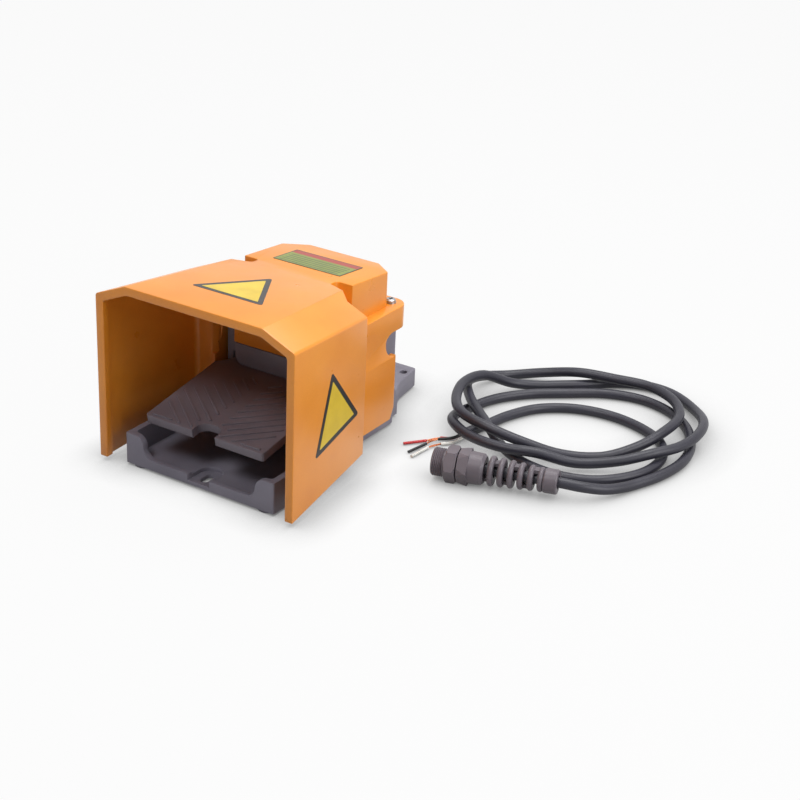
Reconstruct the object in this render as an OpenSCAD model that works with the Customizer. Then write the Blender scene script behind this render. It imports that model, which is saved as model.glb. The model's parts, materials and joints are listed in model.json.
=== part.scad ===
// Industrial foot switch: die-cast base, sprung treadle, shoe guard in one piece
// with the switch cover, snap switch inside, and a loose lead with its cable gland.
// Working frame of the modules: X across, Y back from the guard's mouth, Z up from the floor.

/* [Guard] */
// Outer width of the guard at its mouth
guard_w = 180; // [170:1:200]
// Height of the guard's roof at the mouth
guard_h = 148; // [142:1:165]
// Length of the guard's side walls
guard_len = 104; // [100:1:112]
// Wall thickness of the guard
guard_wall = 5; // [4:0.5:6]
// Width of the thickened rim round the mouth
rim_w = 7; // [6:0.5:9]
// Depth of the thickened rim
rim_len = 6; // [4:1:12]
// Inward slope of each side wall, in degrees
side_draft = 5.2; // [4:0.2:6]
// Fall of the roof towards the rear, in degrees
roof_fall = 4.75; // [3:0.25:6]
// Width of each roof chamfer
chamfer_run = 28; // [20:1:34]
// Height of each roof chamfer
chamfer_drop = 12; // [8:1:18]
// Gap under the side walls at the mouth
skirt_gap = 3.5; // [2.5:0.5:8]
// Rise of the side walls' lower edges towards the rear, in degrees
skirt_rise = 6.2; // [4:0.2:8]
// Rounding of the guard's long edges
guard_edge_r = 3; // [1:0.5:4]
// Width of the opening that the pedal comes through
throat_w = 115; // [112:1:118]
// Height of the top of that opening
throat_h = 77.5; // [75:0.5:82]
// Width of the recess beside the opening
recess_w = 122; // [118:1:124]
// Height of the recess
recess_h = 88; // [84:0.5:90]
// Thickness of the recess's back wall
recess_wall = 4; // [3:0.5:5]
// Width of the housing's nose in the opening
nose_w = 76.4; // [70:0.2:80]
// Height of the nose
nose_h = 18.5; // [16:0.5:20]
// Radius of the nose's lower corners
nose_r = 8; // [4:0.5:9]
// Radius of the hood's rear inner corners
corner_r = 5; // [3:0.5:8]

/* [Switch cover] */
// Width of the raised box
box_w = 101; // [96:1:104]
// Length of the raised box behind the guard
box_len = 86.5; // [84:0.5:88]
// Wall thickness of the box
cover_wall = 4; // [3:0.5:5]
// Cut of the box's rear corners, across
box_cut_x = 17.5; // [15:0.5:22]
// Cut of the box's rear corners, along
box_cut_y = 14; // [12:0.5:18]
// Width over the flange
flange_w = 119; // [117:1:122]
// Ledge of the flange behind the box
rear_ledge = 5.5; // [4:0.5:10]
// Height of the flange's skirt
flange_h = 19; // [14:1:22]
// Wall thickness of the flange's skirt
flange_wall = 4.7; // [3.5:0.1:5]
// Corner radius of the flange
flange_r = 12; // [9:0.5:14]
// Height of the ledge above the floor
ledge_h = 105; // [100:1:110]
// Thickness of the ledge
ledge_t = 4; // [3:0.5:6]
// Width over the lower side panels
panel_w = 125; // [123:1:130]
// Length of the side panels behind the guard
panel_len = 70; // [60:1:80]
// Height of the side panels' lower edge
panel_low = 14; // [8:1:20]
// Height at which the side panels start to step in
panel_step_h = 67; // [60:1:72]
// Radius of the round notch in each side panel
notch_r = 9; // [6:0.5:10]
// Thickness of the gasket under the ledge
gasket_t = 2; // [1:0.5:3]

/* [Base] */
// Width of the tray
tray_w = 138.4; // [134:0.2:144]
// Set-back of the tray behind the guard's mouth
tray_y = 5.7; // [3:0.1:12]
// Height of the tray's side walls
tray_h = 27; // [24:1:30]
// Height of the lip at the tray's front
lip_h = 10; // [9:0.5:13]
// Width of the low stretch of the lip
lip_w = 104; // [90:1:110]
// Thickness of the base's floor
floor_t = 6; // [5:0.5:7]
// Thickness of the base's walls
base_wall = 5.5; // [4.5:0.5:6.5]
// Height of the cast pads under the base
pad_h = 2; // [1.5:0.5:3]
// Radius of the cast pads
pad_r = 8; // [6:0.5:9]
// Gap between the base's housing and the cover
cover_gap = 0.8; // [0.5:0.1:1.2]
// Width of the front fixing slot
slot_w = 20; // [16:1:24]
// Length of the front fixing slot
slot_len = 24; // [20:1:30]
// Depth of the overhanging rear tongue behind the flange
tongue_len = 63.5; // [56:0.5:70]
// Width of the tongue at its rear edge
tongue_w = 60; // [58:1:66]
// Height of the tongue's top
tongue_h = 17; // [14:1:20]
// Distance between the two rear fixing holes
fix_pitch = 50; // [44:1:50]
// Diameter of the rear fixing holes
fix_d = 6.5; // [5:0.5:7]
// Distance of the fixing holes from the tongue's rear edge
fix_edge = 13; // [10:0.5:15]
// Diameter of the threaded cable entry
entry_d = 22; // [20:0.2:24]
// Height of the cable entry above the floor
entry_h = 48; // [46:1:54]

/* [Pedal] */
// Width of the pedal
pedal_w = 109; // [104:1:110]
// Thickness of the pedal
pedal_t = 7; // [6:0.5:8]
// Set-back of the pedal's front edge
pedal_y = 11.8; // [10:0.1:16]
// Height of the pedal's top at its front edge
pedal_z = 43.8; // [42:0.2:46]
// Upward slope of the pedal towards the rear, in degrees
pedal_tilt = 9.5; // [8.5:0.1:10]
// Half width of the notch in the pedal's front edge
toe_r = 10.5; // [9:0.5:14]
// Depth of that notch
toe_len = 13; // [11:0.2:18]
// Distance between the pedal's tread ribs
rib_pitch = 9.5; // [7:0.5:12]
// Width of a tread rib
rib_w = 2; // [1.5:0.1:3]
// Height of a tread rib
rib_h = 1.2; // [0.8:0.1:2]
// Diameter of the hinge pin
pin_d = 8; // [6:0.5:10]
// Running clearance of the pedal's bushes on the pin, per side
pin_play = 0.05; // [0.03:0.01:0.08]
// Wall thickness of the pedal's bushes
bush_wall = 2; // [1.5:0.5:3]
// Travel of the pedal, in degrees
pedal_travel = 7; // [5:0.5:8]

/* [Snap switch] */
// Thickness of the snap switch
switch_t = 20; // [16:1:22]
// Length of the snap switch
switch_len = 40; // [36:1:44]
// Clearance behind the switch
switch_clear = 4.5; // [3:0.5:6]
// Height of the snap switch
switch_h = 32; // [28:1:34]
// Radius of the switch's button
button_r = 4; // [3:0.5:5]
// Distance of the button behind the hinge
button_y = 30; // [27:1:32]
// Thickness of the switch bracket
bracket_t = 3; // [2:0.5:4]
// Free gap between the pedal's striker and the button
button_gap = 0.3; // [0.2:0.1:0.5]

/* [Screws] */
// Diameter of the cover screws
screw_d = 4; // [3:0.5:5]
// Head diameter of the cover screws
head_d = 8; // [6.5:0.5:9]
// Head height of the cover screws
head_t = 2.6; // [2:0.2:3.4]
// Thickness of the washers
washer_t = 0.8; // [0.5:0.1:1.2]
// Diameter of the small screws inside
small_d = 3; // [2.5:0.5:3.5]

/* [Springs and stops] */
// Mean radius of the return springs
spring_r = 7; // [6:0.5:8]
// Wire diameter of the return springs
spring_wire = 1.8; // [1.4:0.1:2]
// Turns of each return spring
spring_turns = 6; // [5:0.5:8]
// Half distance between the return springs
spring_x = 30; // [26:1:34]
// Distance of the return springs in front of the hinge
spring_y = 42; // [38:1:46]
// Thickness of the rubber stops
stop_t = 5; // [4:0.5:7]

/* [Lead and gland] */
// Diameter of the lead
lead_d = 8.2; // [7:0.1:8.4]
// Diameter of the insulated cores
core_d = 2.5; // [2:0.1:2.8]
// Width across flats of the gland
gland_af = 25.5; // [24:0.5:25.5]
// Thread diameter of the gland
thread_d = 22; // [20:0.2:23]
// Pitch of the gland's thread
thread_p = 1.4; // [1:0.1:1.8]
// Length of the gland's thread
thread_len = 9; // [8:0.5:12]
// Number of turns of the strain relief
relief_n = 6; // [5:1:7]

/* [Hidden] */
$fn = 64;
e = 0.01;
guard_hw = guard_w / 2;
box_y = guard_len + box_len;
flange_y = box_y + rear_ledge;
overall_y = flange_y + tongue_len;
// Switch, button and hinge, from the rear wall of the box forwards
contact_y = box_y - cover_wall - switch_clear - switch_len / 2;
hinge_y = contact_y - button_y;
plate_low = ledge_h - ledge_t;
rim_h = plate_low - gasket_t;
// Housing of the base: it stands inside the cover's skirt
house_hw = flange_w / 2 - flange_wall - cover_gap;
house_y = flange_y - flange_wall - cover_gap;
// Recess in the rear wall of the hood, its back wall, and the housing's nose between its halves
recess_back = guard_len + 2;
house_front = recess_back + recess_wall + cover_gap;
nose_y = guard_len - guard_wall + cover_gap;
nose_gap = 0.6;
wall_low = throat_h - nose_h + 4;
house_r = flange_r - flange_wall - cover_gap;
house_in = house_hw - base_wall;
floor_h = pad_h + floor_t;
// Cover screws stand beside the cut corners of the box
screw_x = house_hw - screw_d / 2 - 3.5;
screw_y = house_y - screw_d / 2 - 3.5;
// Pedal plane and hinge
plate_run = hinge_y - pedal_y;
hinge_drop = 10.8;
hinge_z = pedal_z + plate_run * tan(pedal_tilt) - hinge_drop / cos(pedal_tilt);
hinge_u = plate_run / cos(pedal_tilt) - hinge_drop * tan(pedal_tilt);
pin_r = pin_d / 2;
bush_r = pin_r + pin_play + bush_wall;
lug_r = bush_r + 3;
lug_x = house_in - 3;
side_play = 0.3;
clip_t = 0.9;
clip_x = house_in - side_play - clip_t;
pin_inset = 0.5;
neck_w = 2 * lug_x - 2;
// Tread: inner ends of the ribs, their climb, and the line where the field ends
rib_x = 6;
rib_slope = 0.79;
rib_field = 92;
// Button: its dome rests above the striker's plane
dome_z = hinge_z + button_y * tan(pedal_tilt) + (hinge_drop + button_r) / cos(pedal_tilt) + button_gap;
lift = button_y * (tan(pedal_tilt + pedal_travel) - tan(pedal_tilt))
    + (hinge_drop + button_r) * (1 / cos(pedal_tilt + pedal_travel) - 1 / cos(pedal_tilt)) + 0.1;
switch_z = dome_z + lift + 1;
tail_u = hinge_u + button_y / cos(pedal_tilt) + 8;
tail_w = 18;
// Return springs
seat_z = floor_h + 4;
spring_top = pedal_z + (plate_run - spring_y) * tan(pedal_tilt) - pedal_t / cos(pedal_tilt) - 2.5;
// Gland: lying on one flat
gland_x = 127;
gland_y = 131;
gland_turn = 16;
gland_z = gland_af / 2;
hex_t = 9;
nut_hex = 8;
dome_len = 13;
relief_p = 7.6;
ring_len = 10.5;
neck_len = 1.5;
collar_d = 16.6;
nut_x = thread_len + neck_len + hex_t;
relief_x = nut_x + nut_hex + dome_len;
gland_len = relief_x + relief_n * relief_p + ring_len;
lead_r = lead_d / 2;
lead_z = lead_r + 0.1;
top_z = lead_z + lead_d + 1.2;
hump_z = top_z + lead_d + 0.6;

// ---------- helpers ----------
module place() { translate([0, -overall_y / 2, 0]) children(); }
module both() { children(); mirror([1, 0, 0]) children(); }
// 2-D drawing in Y (right) and Z (up), extruded along X from x0
module side_profile(x0, len) {
    translate([x0, 0, 0]) rotate([90, 0, 90]) linear_extrude(len) children();
}
// 2-D drawing in X and Z, extruded along Y from y0
module front_profile(y0, len) {
    translate([0, y0 + len, 0]) rotate([90, 0, 0]) linear_extrude(len) children();
}
// Rectangle with its rear corners rounded
module rear_round(hw, y0, y1, r) {
    translate([-hw, y0]) square([2 * hw, y1 - y0 - r]);
    translate([-hw + r, y1 - r - e]) square([2 * hw - 2 * r, r + e]);
    for (s = [-1, 1]) translate([s * (hw - r), y1 - r]) circle(r);
}
// Rectangle with all corners rounded
module round_rect(w, y0, y1, r) {
    translate([-w / 2 + r, y0]) square([w - 2 * r, y1 - y0]);
    translate([-w / 2, y0 + r]) square([w, y1 - y0 - 2 * r]);
    for (x = [-1, 1], y = [y0 + r, y1 - r]) translate([x * (w / 2 - r), y]) circle(r);
}
// Half space below the roof's plane, lowered by d
module under_roof(d) {
    translate([0, 0, guard_h - d / cos(roof_fall)]) rotate([-roof_fall, 0, 0])
        translate([-150, -60, -400]) cube([300, 460, 400]);
}
module pedal_frame() { translate([0, pedal_y, pedal_z]) rotate([pedal_tilt, 0, 0]) children(); }
module gland_frame() {
    translate([gland_x, gland_y, gland_z]) rotate([0, 0, gland_turn]) rotate([0, 90, 0]) children();
}
module pan_screw(d, hd, ht, len) {
    translate([0, 0, -len]) cylinder(d = d, h = len + e);
    difference() {
        union() {
            cylinder(d = hd, h = ht * 0.6);
            translate([0, 0, ht * 0.6]) cylinder(d1 = hd, d2 = hd * 0.7, h = ht * 0.4);
        }
        for (a = [0, 90]) rotate([0, 0, a]) translate([-hd * 0.3, -0.5, ht - 1.2]) cube([hd * 0.6, 1, 2]);
    }
}

// ---------- tubes along a route ----------
function unit(v) = v / norm(v);
function spline(a, b, c, d, t) = 0.5 * ((2 * b) + (c - a) * t + (2 * a - 5 * b + 4 * c - d) * t * t
    + (3 * b - a - 3 * c + d) * t * t * t);
function route(p, n) = let (m = len(p) - 1) [
    for (i = [0 : m - 1]) for (j = [0 : n - 1])
        spline(p[max(i - 1, 0)], p[i], p[i + 1], p[min(i + 2, m)], j / n),
    p[m]];
module tube(p, r, sides) {
    m = len(p);
    rings = [for (i = [0 : m - 1]) let (
            t = unit(p[min(i + 1, m - 1)] - p[max(i - 1, 0)]),
            s = unit(cross(t, [0, 0, 1])),
            u = cross(s, t))
        for (k = [0 : sides - 1]) p[i] + r * (cos(360 * k / sides) * s + sin(360 * k / sides) * u)];
    walls = [for (i = [0 : m - 2]) for (k = [0 : sides - 1]) let (a = i * sides + k, b = i * sides + (k + 1) % sides)
        [a, b, b + sides, a + sides]];
    polyhedron(rings, concat([[for (k = [sides - 1 : -1 : 0]) k]], walls,
        [[for (k = [0 : sides - 1]) (m - 1) * sides + k]]));
}

// ---------- base ----------
module tray_plan() { round_rect(tray_w, tray_y, guard_len - guard_wall - 1.5, 1.5); }
// Low stretch of the front lip, with an S-shaped rise at each end
module lip_cut() {
    r = (tray_h - lip_h) / 2;
    hw = lip_w / 2;
    translate([-hw, lip_h + r]) square([2 * hw, tray_h]);
    translate([-hw + r, lip_h]) square([2 * hw - 2 * r, tray_h]);
    for (s = [-1, 1]) {
        translate([s * (hw - r), lip_h + r]) circle(r);
        difference() {
            translate([s * (hw + r / 2), tray_h - r / 2 + 1]) square([r, r + 2], center = true);
            translate([s * (hw + r), tray_h - r]) circle(r);
        }
    }
}
module tongue_plan() {
    hull() {
        for (s = [-1, 1]) translate([s * (tongue_w / 2 - 3), overall_y - 3]) circle(3, $fn = 32);
        translate([-tongue_w / 2 - 4, overall_y - 33]) square([tongue_w + 8, 1]);
    }
    polygon([[-tongue_w / 2 - 4, overall_y - 32], [tongue_w / 2 + 4, overall_y - 32],
        [house_hw - 2, house_y - 8], [2 - house_hw, house_y - 8]]);
}
module hinge_bore(r) { translate([-100, hinge_y, hinge_z]) rotate([0, 90, 0]) cylinder(r = r, h = 200); }
module fix_holes(r, h) {
    for (s = [-1, 1]) translate([s * fix_pitch / 2, overall_y - fix_edge, -1]) cylinder(r = r, h = h);
}
module base_casting() { color("#8C8894") place() {
    difference() {
        union() {
            translate([0, 0, pad_h]) linear_extrude(tray_h - pad_h) tray_plan();
            translate([0, 0, pad_h]) linear_extrude(tray_h - pad_h)
                rear_round(house_hw, guard_len - guard_wall - 8, house_y, house_r);
            translate([0, 0, pad_h]) linear_extrude(rim_h - pad_h)
                rear_round(house_hw, house_front, house_y, house_r);
            translate([0, 0, pad_h]) linear_extrude(tongue_h - pad_h) tongue_plan();
            // Sloping foot of the housing, down to the tongue
            side_profile(-house_hw + 6, 2 * house_hw - 12)
                polygon([[house_y - 3, 62], [house_y - 3, pad_h], [house_y + 12, pad_h],
                    [house_y + 12, tongue_h], [house_y + 6, tongue_h + 12], [house_y + 2, tongue_h + 28], [house_y, 62]]);
            // Cable entry boss
            translate([0, house_y - 3, entry_h]) rotate([-90, 0, 0]) cylinder(r = entry_d / 2 + 6, h = 12);
            for (s = [-1, 1], y = [tray_y + 9, house_y - 12])
                translate([s * (y < 50 ? tray_w / 2 - 11 : house_hw - 10), y, 0]) cylinder(r = pad_r, h = pad_h + 1);
        }
        // Tray
        translate([0, 0, floor_h]) linear_extrude(100)
            round_rect(tray_w - 2 * base_wall, tray_y + base_wall, guard_len - guard_wall - 1.5 - base_wall, 3);
        front_profile(tray_y - 1, base_wall + 2) lip_cut();
        // Switch housing
        translate([0, 0, floor_h]) linear_extrude(100)
            rear_round(house_in, house_front + base_wall, house_y - base_wall, house_r - base_wall + 1);
        translate([-house_in, guard_len - guard_wall - 20, floor_h])
            cube([2 * house_in, 20 + guard_wall + house_front - guard_len + base_wall + 1, wall_low - floor_h]);
        // Front fixing slot: a pocket for the head and a slot for the screw
        translate([0, 0, 5]) linear_extrude(20) slot_plan(slot_w, tray_y - 1, tray_y + slot_len);
        translate([0, 0, -1]) linear_extrude(20) slot_plan(fix_d, tray_y + 8, tray_y + slot_len - 6);
        // Hollow underside of the tongue, left solid round the holes
        translate([0, 0, -1]) linear_extrude(tongue_h - 5 + 1) difference() {
            translate([-tongue_w / 2 + 4, house_y + 6]) square([tongue_w - 8, tongue_len - 14]);
            for (s = [-1, 1]) translate([s * fix_pitch / 2, overall_y - fix_edge]) circle(fix_d / 2 + 4);
            translate([-2, house_y]) square([4, tongue_len]);
        }
        fix_holes(fix_d / 2, 40);
        hinge_bore(pin_r);
        translate([0, house_y - 20, entry_h]) rotate([-90, 0, 0]) cylinder(r = entry_d / 2, h = 40);
        cover_screw_axes() translate([0, 0, rim_h - 20]) cylinder(d = screw_d, h = 30);
    }
    nose();
    // Bosses inside the housing
    difference() {
        intersection() {
            cover_screw_axes() translate([0, 0, pad_h + 1]) cylinder(d = screw_d + 7, h = rim_h - pad_h - 1);
            translate([0, 0, pad_h]) linear_extrude(rim_h) rear_round(house_hw - 1, house_front, house_y - 1, house_r - 1);
        }
        cover_screw_axes() translate([0, 0, rim_h - 20]) cylinder(d = screw_d, h = 30);
    }
    for (s = [-1, 1]) translate([s * spring_x, hinge_y - spring_y, floor_h - 1]) {
        cylinder(r = spring_r + 2.5, h = seat_z - floor_h + 1);
        cylinder(r = spring_r - spring_wire / 2 - 0.6, h = seat_z - floor_h + 6);
    }
    for (s = [-1, 1]) translate([s * spring_x, hinge_y - 17, floor_h - 1])
        cylinder(r = 6, h = front_stop_z - stop_t - floor_h + 1);
    translate([0, contact_y - 12, floor_h - 1]) cylinder(r = 7, h = rear_stop_z - stop_t - floor_h + 1);
    difference() {
        for (y = bracket_ys) translate([bracket_x + 11, y, floor_h - 1]) cylinder(r = 5, h = 5);
        for (y = bracket_ys) translate([bracket_x + 11, y, floor_h - 2]) cylinder(d = small_d, h = 10);
    }
    difference() {
        translate([earth_x, earth_y, floor_h - 1]) cylinder(r = 6, h = 7);
        translate([earth_x, earth_y, floor_h - 2]) cylinder(d = screw_d, h = 12);
    }
} }
// Nose of the housing: it closes the opening down to the pedal, with rounded lower corners
module nose() {
    low = throat_h - nose_h;
    difference() {
        front_profile(nose_y, house_front + base_wall - nose_y) {
            translate([-nose_w / 2, low + nose_r]) square([nose_w, nose_h - nose_r - nose_gap]);
            translate([-nose_w / 2 + nose_r, low]) square([nose_w - 2 * nose_r, nose_h - nose_gap]);
            for (s = [-1, 1]) translate([s * (nose_w / 2 - nose_r), low + nose_r]) circle(nose_r);
        }
        pedal_frame() translate([-100, 0, -60]) cube([200, 200, 60 + nose_gap]);
    }
}
module slot_plan(w, y0, y1) {
    translate([-w / 2, y0]) square([w, y1 - y0 - w / 2]);
    translate([0, y1 - w / 2]) circle(w / 2);
    if (y0 > tray_y) translate([0, y0]) circle(w / 2);
}
module cover_screw_axes() { for (s = [-1, 1]) translate([s * screw_x, screw_y, 0]) children(); }
bracket_x = switch_t / 2 + 1;
bracket_ys = [contact_y - 8, contact_y + 12];
earth_x = -34;
earth_y = contact_y + 8;
// Stops: the pedal's underside at rest and at full travel
function under_z(y, a) = hinge_z + (y - hinge_y) * tan(pedal_tilt + a) + (hinge_drop - pedal_t) / cos(pedal_tilt + a);
front_stop_z = under_z(hinge_y - 23, pedal_travel) - 0.3;
rear_stop_z = under_z(contact_y - 19, 0) - 0.3;

// ---------- guard and cover ----------
module guard_profile(y) {
    hw = guard_hw - y * tan(side_draft);
    top = guard_h - y * tan(roof_fall);
    polygon([[-hw, -30], [hw, -30], [hw, top - chamfer_drop], [hw - chamfer_run, top],
        [chamfer_run - hw, top], [-hw, top - chamfer_drop]]);
}
module guard_slice(y, inset) {
    translate([0, y, 0]) rotate([90, 0, 0]) linear_extrude(e)
        offset(r = guard_edge_r, $fn = 24) offset(delta = -guard_edge_r - inset) guard_profile(y);
}
module guard_loft(y0, y1, inset) { hull() { guard_slice(y0, inset); guard_slice(y1, inset); } }
crown_y = 15;
module guard_plan() {
    polygon([[-guard_hw - 1, -1], [guard_hw + 1, -1], [guard_hw + 1, guard_len], [-guard_hw - 1, guard_len]]);
}
module crown_plan() {
    polygon([[-box_w / 2 - 13, guard_len - 1], [box_w / 2 + 13, guard_len - 1], [box_w / 2, guard_len + 10],
        [box_w / 2 - 14, guard_len + crown_y], [14 - box_w / 2, guard_len + crown_y], [-box_w / 2, guard_len + 10]]);
}
module box_plan(inset) {
    hw = box_w / 2;
    y1 = guard_len + box_len;
    offset(r = 3, $fn = 24) offset(delta = -3 - inset)
        polygon([[-hw, guard_len - 4], [hw, guard_len - 4], [hw, y1 - box_cut_y], [hw - box_cut_x, y1],
            [box_cut_x - hw, y1], [-hw, y1 - box_cut_y]]);
}
// Scooped pocket on each side, between the guard's roof and the box
module pocket_plan(grow) {
    offset(r = 3 + grow, $fn = 24) offset(delta = -3)
        polygon([[box_w / 2 - 14, guard_len + 14.5], [box_w / 2 - 14, guard_len + 23.5],
            [box_w / 2 + 12, guard_len + 23.5], [box_w / 2 + 12, guard_len + 5]]);
}
module panel_profile() {
    w = flange_wall;
    polygon([[panel_w / 2 - w, panel_low], [panel_w / 2, panel_low], [panel_w / 2, panel_step_h],
        [flange_w / 2, ledge_h - flange_h], [flange_w / 2, ledge_h - flange_h + 3],
        [flange_w / 2 - w, ledge_h - flange_h + 3], [flange_w / 2 - w, ledge_h - flange_h],
        [panel_w / 2 - w, panel_step_h]]);
}
module skirt_plan(y0) { rear_round(flange_w / 2 - flange_wall, y0, flange_y - flange_wall, house_r + cover_gap); }
module recess_plan() {
    polygon([[nose_w / 2 + nose_gap, guard_len - guard_wall - 1], [recess_w / 2, guard_len - guard_wall - 1],
        [throat_w / 2 - 0.5, guard_len], [throat_w / 2 - 0.5, recess_back], [nose_w / 2 + nose_gap, recess_back]]);
}
// Plan of the space inside the hood, a little wider than the hood's own inside
module inner_plan() {
    y1 = guard_len - guard_wall;
    hw = guard_hw - guard_wall + 0.2;
    offset(r = corner_r, $fn = 32) offset(delta = -corner_r)
        polygon([[-hw - 60 * tan(side_draft), -60], [hw + 60 * tan(side_draft), -60],
            [hw - y1 * tan(side_draft), y1 + e], [y1 * tan(side_draft) - hw, y1 + e]]);
}
module guard_cover() { color("#F0A838") place() {
    difference() {
        union() {
            intersection() {
                guard_loft(0, guard_len + crown_y + 1, 0);
                union() {
                    linear_extrude(200) guard_plan();
                    translate([0, 0, ledge_h - ledge_t]) linear_extrude(100) crown_plan();
                }
            }
            intersection() {
                under_roof(0);
                translate([0, 0, plate_low]) linear_extrude(60) box_plan(0);
            }
            translate([0, 0, ledge_h - flange_h]) linear_extrude(flange_h)
                rear_round(flange_w / 2, guard_len - 1, flange_y, flange_r);
            both() difference() {
                front_profile(guard_len - 1, panel_len + 1) panel_profile();
                translate([0, guard_len + panel_len - 3, ledge_h - flange_h - notch_r]) rotate([0, 90, 0])
                    cylinder(r = notch_r, h = 100);
                translate([0, guard_len + panel_len - 3, ledge_h - flange_h - 2 * notch_r]) cube([100, 20, 2 * notch_r]);
                side_profile(0, 100) polygon([[guard_len + panel_len + 1, panel_low - 1],
                    [guard_len + panel_len + 1, panel_low + 11], [guard_len + panel_len - 5, panel_low - 1]]);
            }
        }
        // Inside of the guard, with rounded rear corners
        intersection() {
            guard_loft(rim_len, guard_len - guard_wall, guard_wall);
            translate([0, 0, -50]) linear_extrude(300) inner_plan();
        }
        guard_loft(-1, rim_len + e, rim_w);
        // Lower edge of the side walls
        translate([-150, 0, skirt_gap]) rotate([skirt_rise, 0, 0]) translate([0, -20, -60])
            cube([300, guard_len + 21, 60]);
        // Opening for the pedal, for the nose above it, and the recess on each side of the nose
        translate([-throat_w / 2, guard_len - guard_wall - 1, -20])
            cube([throat_w, house_front - guard_len + guard_wall, wall_low + 20]);
        translate([-nose_w / 2 - nose_gap, guard_len - guard_wall - 1, wall_low - 1])
            cube([nose_w + 2 * nose_gap, house_front - guard_len + guard_wall, throat_h - wall_low + 1]);
        both() translate([0, 0, wall_low - 1]) linear_extrude(recess_h - wall_low + 1) recess_plan();
        // Inside of the flange's skirt and of the box
        translate([0, 0, -1]) linear_extrude(wall_low + 1) skirt_plan(guard_len);
        translate([0, 0, wall_low - 1]) linear_extrude(plate_low - wall_low + 1)
            skirt_plan(recess_back + recess_wall);
        intersection() {
            under_roof(cover_wall);
            translate([0, 0, plate_low - 1]) linear_extrude(100) difference() {
                box_plan(cover_wall);
                translate([-200, 0]) square([400, guard_len + cover_wall]);
                both() pocket_plan(cover_wall);
            }
        }
        both() translate([0, 0, ledge_h + 13]) linear_extrude(60) pocket_plan(0);
        cover_screw_axes() translate([0, 0, plate_low - 1]) cylinder(d = screw_d + 0.6, h = ledge_t + 2);
    }
} }
module cover_gasket() { color("#303030") place() {
    difference() {
        translate([0, 0, rim_h]) linear_extrude(gasket_t) difference() {
            rear_round(house_hw, house_front, house_y, house_r);
            rear_round(house_in, house_front + base_wall, house_y - base_wall, house_r - base_wall + 1);
        }
        cover_screw_axes() translate([0, 0, rim_h - 1]) cylinder(d = screw_d + 0.6, h = gasket_t + 2);
    }
} }
module cover_screws() { color("#B8BCC0") place()
    cover_screw_axes() translate([0, 0, ledge_h + washer_t]) pan_screw(screw_d, head_d, head_t, 16 + washer_t);
}
module cover_washers() { color("#9A9EA2") place()
    cover_screw_axes() translate([0, 0, ledge_h]) difference() {
        cylinder(d = head_d + 1, h = washer_t);
        translate([0, 0, -1]) cylinder(d = screw_d + 0.3, h = washer_t + 2);
    }
}

// ---------- pedal ----------
module pedal_plan(inset) {
    hw = pedal_w / 2 - inset;
    nw = neck_w / 2 - inset;
    u0 = inset;
    u1 = (guard_len - guard_wall - pedal_y - 3) / cos(pedal_tilt);
    difference() {
        union() {
            polygon([[-hw + 1.5, u0], [hw - 1.5, u0], [hw, u0 + 1.5], [hw, u1], [nw, u1 + hw - nw], [nw, hinge_u - lug_r],
                [-nw, hinge_u - lug_r], [-nw, u1 + hw - nw], [-hw, u1], [-hw, u0 + 1.5]]);
            if (inset == 0) {
                translate([-nw, hinge_u - lug_r - e]) square([2 * nw, lug_r + 4]);
                translate([-tail_w / 2, hinge_u]) square([tail_w, tail_u - hinge_u]);
            }
        }
        // Round-cornered notch for the fixing screw below
        offset(r = inset) union() {
            translate([-toe_r, -1]) square([2 * toe_r, toe_len - 7 + 1]);
            translate([-toe_r + 8, -1]) square([2 * toe_r - 16, toe_len + 1]);
            for (s = [-1, 1]) translate([s * (toe_r - 8), toe_len - 8]) circle(8);
        }
    }
}
// One tread rib from its inner to its outer end, with round ends
module rib(p, q) {
    d = q - p;
    r = rib_w / 2;
    translate([p[0], p[1], -0.5]) rotate([0, 0, atan2(d[1], d[0])]) linear_extrude(rib_h + 0.5)
        polygon([for (i = [0 : 11]) let (a = 30 * i - 75) [(i < 6 ? norm(d) : 0) + r * cos(a), r * sin(a)]]);
}
module tread() {
    reach = pedal_w / 2 - 5.5;
    for (i = [-3 : 6]) {
        // Each rib climbs from its inner end; the field narrows towards the neck
        u = toe_len + 3.8 + i * rib_pitch;
        x0 = max(rib_x, i < 0 ? toe_r + 3 : 0, rib_x + (3.4 - u) / rib_slope);
        x1 = min(reach, (rib_field + rib_slope * rib_x - u) / (1 + rib_slope));
        both() rib([x0, u + (x0 - rib_x) * rib_slope], [x1, u + (x1 - rib_x) * rib_slope]);
    }
    both() rib([reach - 16, 3.6], [reach, 3.6]);
}
module pedal() { color("#6E6468") place() {
    difference() {
        union() {
            pedal_frame() {
                translate([0, 0, -pedal_t]) linear_extrude(pedal_t) pedal_plan(0);
                tread();
                both() {
                    translate([lug_x - 15, hinge_u, -hinge_drop]) rotate([0, 90, 0]) cylinder(r = lug_r, h = 15);
                    translate([lug_x - 15, hinge_u - lug_r, -hinge_drop]) cube([15, 2 * lug_r, hinge_drop - 1]);
                }
            }
            // Level seats for the springs
            both() translate([spring_x, hinge_y - spring_y, spring_top]) cylinder(r = spring_r + 2, h = 6);
        }
        // Hollow underside with stiffening ribs
        pedal_frame() difference() {
            translate([0, 0, -pedal_t - 1]) linear_extrude(3.5) pedal_plan(5);
            for (x = [-30, 0, 30]) translate([x - 2, 0, -pedal_t - 2]) cube([4, 200, 8]);
            for (u = [30, 60]) translate([-100, u, -pedal_t - 2]) cube([200, 3, 8]);
            both() translate([spring_x, (plate_run - spring_y) / cos(pedal_tilt), -pedal_t - 2]) cylinder(r = spring_r + 4, h = 8);
        }
        // The tail carries the striker in a step
        pedal_frame() translate([-tail_w, tail_u - 18, -2]) cube([2 * tail_w, 30, 10]);
        hinge_bore(bush_r);
    }
} }
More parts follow.
